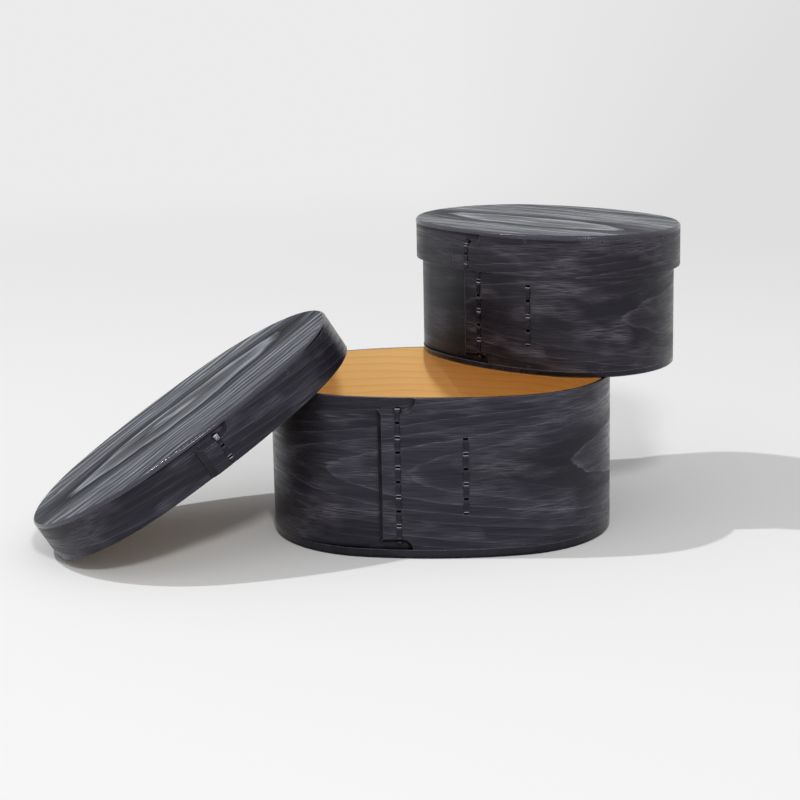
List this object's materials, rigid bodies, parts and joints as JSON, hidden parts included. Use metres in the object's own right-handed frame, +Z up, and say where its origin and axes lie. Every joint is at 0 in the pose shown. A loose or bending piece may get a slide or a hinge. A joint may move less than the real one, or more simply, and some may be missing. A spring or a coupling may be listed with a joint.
{
  "type": "nesting oval bentwood boxes",
  "caption": "Nesting pair of laced oval bentwood boxes: a large open box with its lid leaning on the rim, and a small closed box standing across the rim.",
  "frame": {"origin": "centre of the large box's underside, at floor level", "axes": "+Z up, +X along the large box's length to the right as seen from the front, -Y towards the front, where the large box's laced lap faces"},
  "size_m": [0.4548, 0.2827, 0.2104],
  "materials": {
    "stained_wood": "satin",
    "dark_lacing": "satin"
  },
  "bodies": {
    "large_box": {"large_box_band": "stained_wood", "large_base_board": "stained_wood", "large_base_pegs": "stained_wood", "large_main_lacing": "dark_lacing", "large_inner_lacing": "dark_lacing"},
    "large_lid": {"large_lid_band": "stained_wood", "large_lid_board": "stained_wood", "large_lid_pegs": "stained_wood", "large_lid_lacing": "dark_lacing"},
    "small_box": {"small_box_band": "stained_wood", "small_base_board": "stained_wood", "small_base_pegs": "stained_wood", "small_main_lacing": "dark_lacing", "small_inner_lacing": "dark_lacing"},
    "small_lid": {"small_lid_band": "stained_wood", "small_lid_board": "stained_wood", "small_lid_pegs": "stained_wood", "small_lid_lacing": "dark_lacing"}
  },
  "joints": [
    {"name": "large_lid_lift", "type": "slide", "parent": "large_box", "child": "large_lid", "axis": [-0.5204, -0.088, 0.8494], "range_m": [0, 0.15]},
    {"name": "small_box_lift", "type": "slide", "parent": "large_box", "child": "small_box", "axis": [0, 0, 1], "range_m": [0, 0.12]},
    {"name": "small_lid_lift", "type": "slide", "parent": "small_box", "child": "small_lid", "axis": [0, 0, 1], "range_m": [0, 0.06]}
  ]
}
